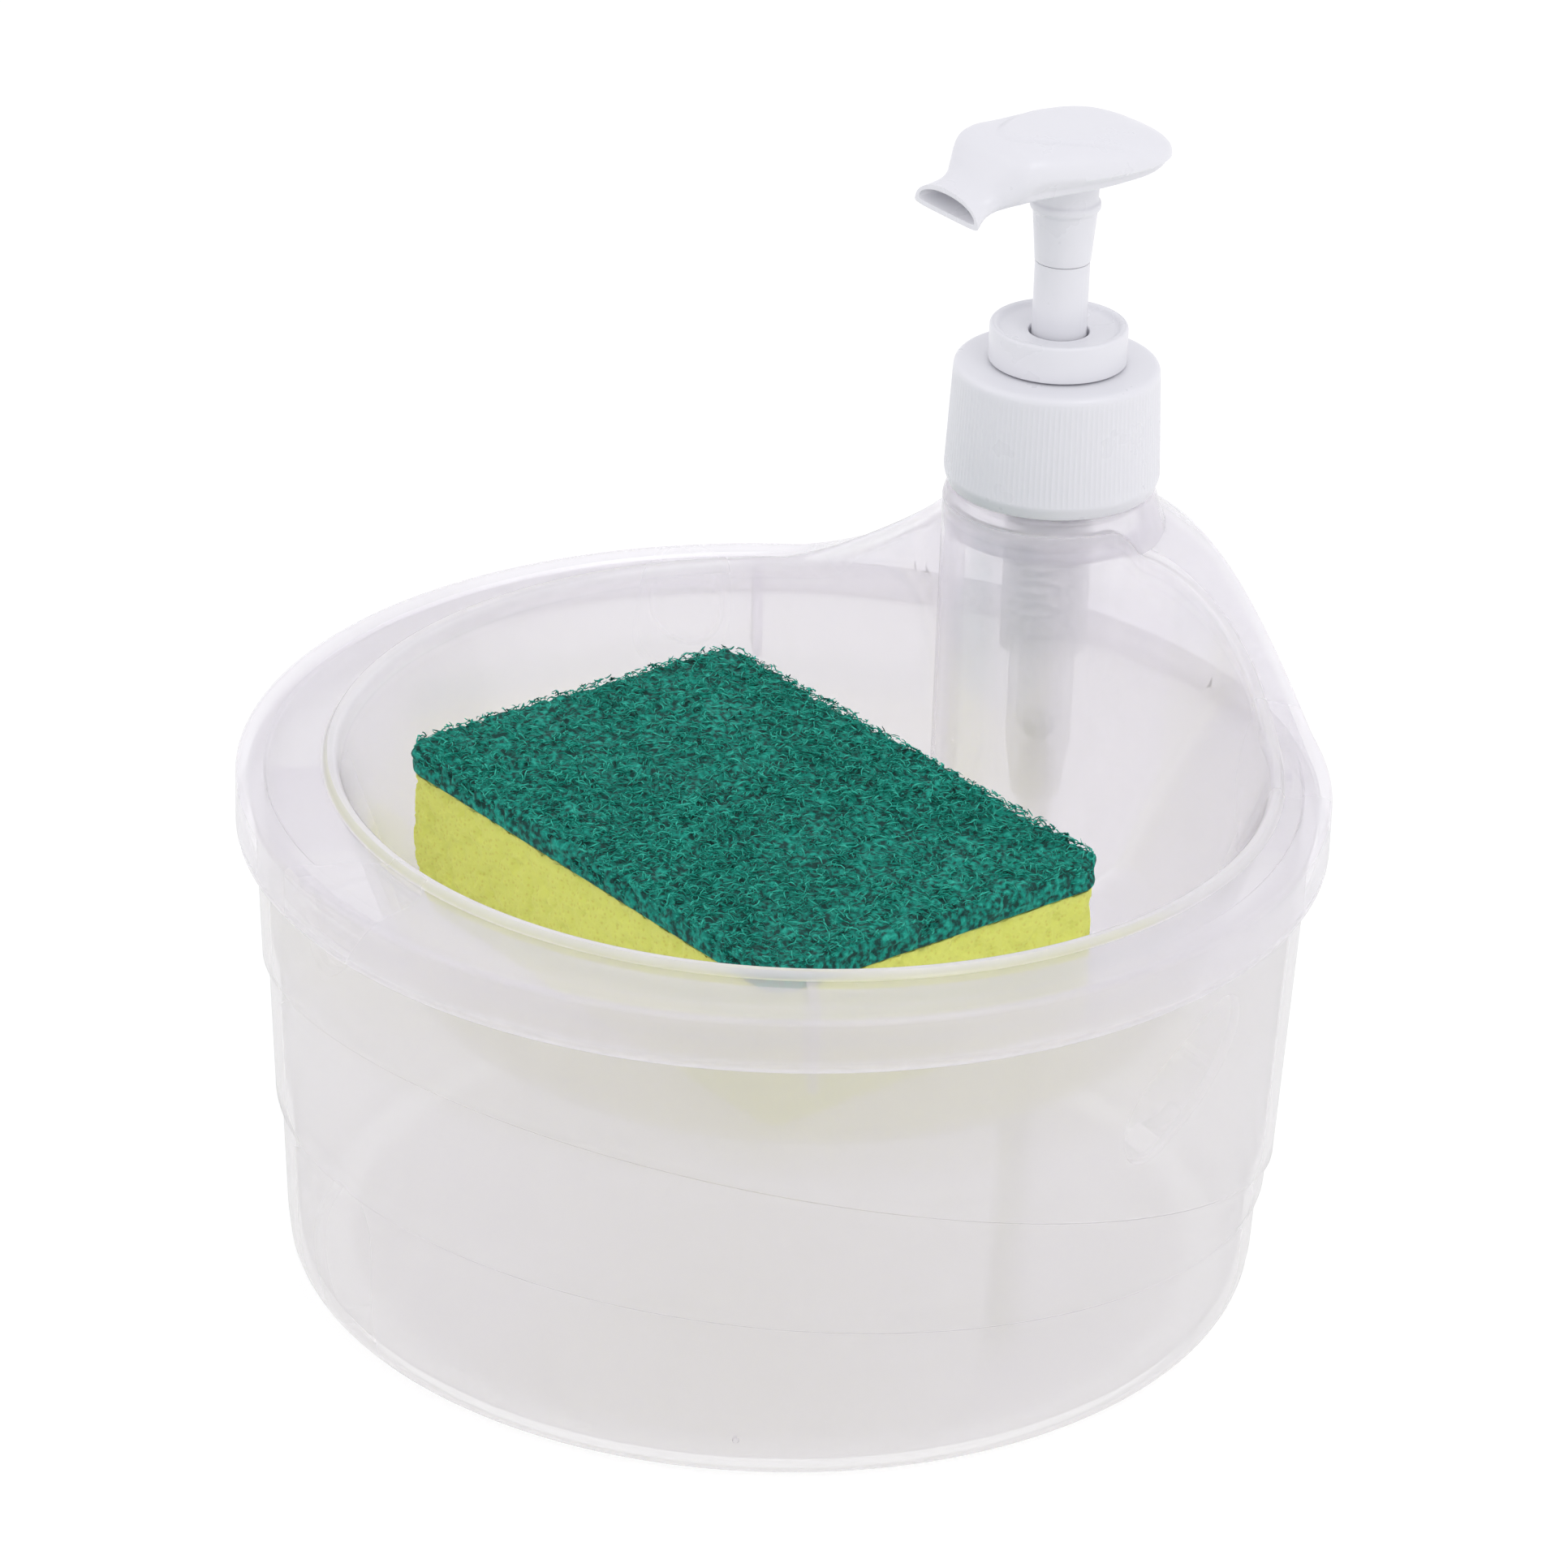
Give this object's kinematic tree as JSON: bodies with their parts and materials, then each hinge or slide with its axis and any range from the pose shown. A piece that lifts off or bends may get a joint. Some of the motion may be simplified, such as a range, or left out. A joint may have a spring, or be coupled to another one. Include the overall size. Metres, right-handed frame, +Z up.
{
  "type": "soap pump caddy",
  "caption": "Round translucent soap tub whose lid holds a sponge in a sunken bowl, with a press-down lotion pump on a raised neck at the back.",
  "frame": {"origin": "centre of the ring that the tub stands on, on the table", "axes": "+Z up along the tub's axis; +Y from the tub's axis towards the pump's axis; the spout points forward over the sponge bowl, turned 12 degrees from -Y towards -X"},
  "size_m": [0.1574, 0.1574, 0.1603],
  "materials": {
    "translucent_plastic": "frosted clear moulding",
    "soft_seal": "soft matt seal",
    "white_plastic": "glossy white moulding",
    "natural_plastic": "natural milky moulding",
    "ball_steel": "polished steel ball",
    "tube_plastic": "milky clear tube",
    "spring_steel": "drawn steel wire",
    "yellow_foam": "open cell foam",
    "green_scour": "coarse fibre pad"
  },
  "bodies": {
    "tub": {"tub": "translucent_plastic"},
    "lid": {"lid": "translucent_plastic"},
    "sponge": {"sponge_foam": "yellow_foam", "scouring_pad": "green_scour"},
    "pump": {"pump_housing": "natural_plastic", "lock_ring": "white_plastic", "neck_gasket": "soft_seal", "dip_tube": "tube_plastic", "pump_spring": "spring_steel"},
    "collar": {"collar": "white_plastic"},
    "piston": {"piston": "natural_plastic"},
    "head": {"pump_head": "white_plastic", "stem": "white_plastic"},
    "inlet_ball": {"inlet_ball": "ball_steel"},
    "outlet_ball": {"outlet_ball": "ball_steel"}
  },
  "joints": [
    {"name": "lid_lift", "type": "slide", "parent": "tub", "child": "lid", "axis": [0, 0, 1], "range_m": [0, 0.08]},
    {"name": "sponge_lift", "type": "slide", "parent": "lid", "child": "sponge", "axis": [0, 0, 1], "range_m": [0, 0.06]},
    {"name": "pump_rise", "type": "slide", "parent": "lid", "child": "pump", "axis": [0, 0, 1], "range_m": [0, 0.004]},
    {"name": "collar_spin", "type": "hinge", "parent": "pump", "child": "collar", "pos_m": [0, 0.058, 0.11], "axis": [0, 0, 1], "range_deg": [0, 450]},
    {"name": "head_press", "type": "slide", "parent": "pump", "child": "piston", "axis": [0, 0, -1], "range_m": [0, 0.012], "stiffness_N_per_m": 700, "springref_m": -0.006, "deforming": ["pump_spring"]},
    {"name": "head_swivel", "type": "hinge", "parent": "piston", "child": "head", "pos_m": [0, 0.058, 0.14], "axis": [0, 0, 1], "continuous": true},
    {"name": "inlet_lift", "type": "slide", "parent": "pump", "child": "inlet_ball", "axis": [0, 0, 1], "range_m": [0, 0.002]},
    {"name": "outlet_lift", "type": "slide", "parent": "head", "child": "outlet_ball", "axis": [0, 0, 1], "range_m": [0, 0.001]}
  ],
  "couplings": [
    {"joint": "pump_rise", "follows": "collar_spin", "m_per_rad": 0.0005093}
  ]
}
